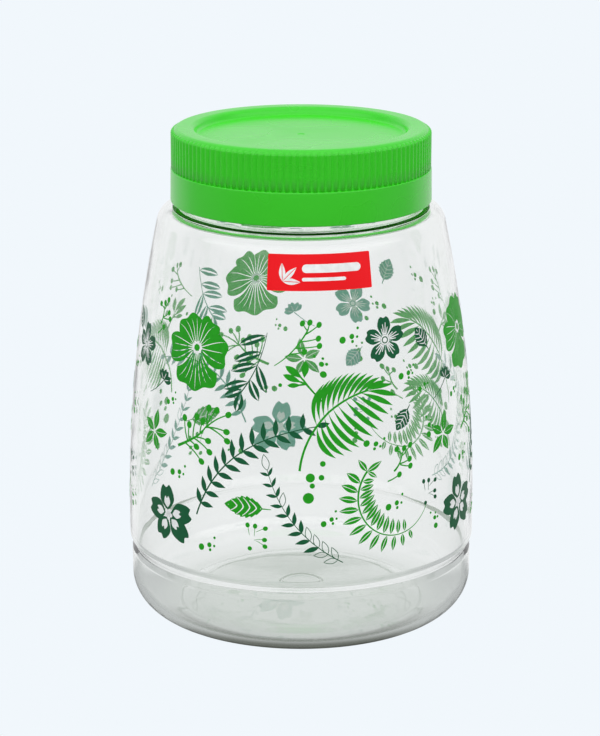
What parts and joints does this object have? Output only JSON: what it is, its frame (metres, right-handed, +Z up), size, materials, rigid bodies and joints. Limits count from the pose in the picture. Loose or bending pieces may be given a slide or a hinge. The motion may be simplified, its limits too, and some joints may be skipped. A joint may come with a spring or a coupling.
{
  "type": "storage jar with screw lid",
  "caption": "Clear tapered storage jar with a broad mouth, a ribbed green screw lid, a sealing ring and a small front sticker; the lid unscrews upwards.",
  "frame": {"origin": "centre of the standing ring, on the plane the jar stands on", "axes": "+Z up along the jar's axis, -Y towards the front sticker"},
  "size_m": [0.1502, 0.1502, 0.212],
  "materials": {
    "clear_plastic": "polished",
    "green_plastic": "gloss",
    "seal_rubber": "matte",
    "label_film": "gloss",
    "ink_leaf_green": "satin",
    "ink_deep_green": "satin",
    "ink_white": "satin"
  },
  "bodies": {
    "jar": {"jar_body": "clear_plastic", "front_label": "label_film"},
    "seal": {"seal_ring": "seal_rubber"},
    "lid": {"screw_lid": "green_plastic"}
  },
  "joints": [
    {"name": "lid_rise", "type": "slide", "parent": "jar", "child": "seal", "axis": [0, 0, 1], "range_m": [0, 0.03]},
    {"name": "lid_turn", "type": "hinge", "parent": "seal", "child": "lid", "pos_m": [0, 0, 0.196], "axis": [0, 0, 1], "range_deg": [0, 900]}
  ],
  "couplings": [
    {"joint": "lid_rise", "follows": "lid_turn", "m_per_rad": 0.0019099}
  ]
}
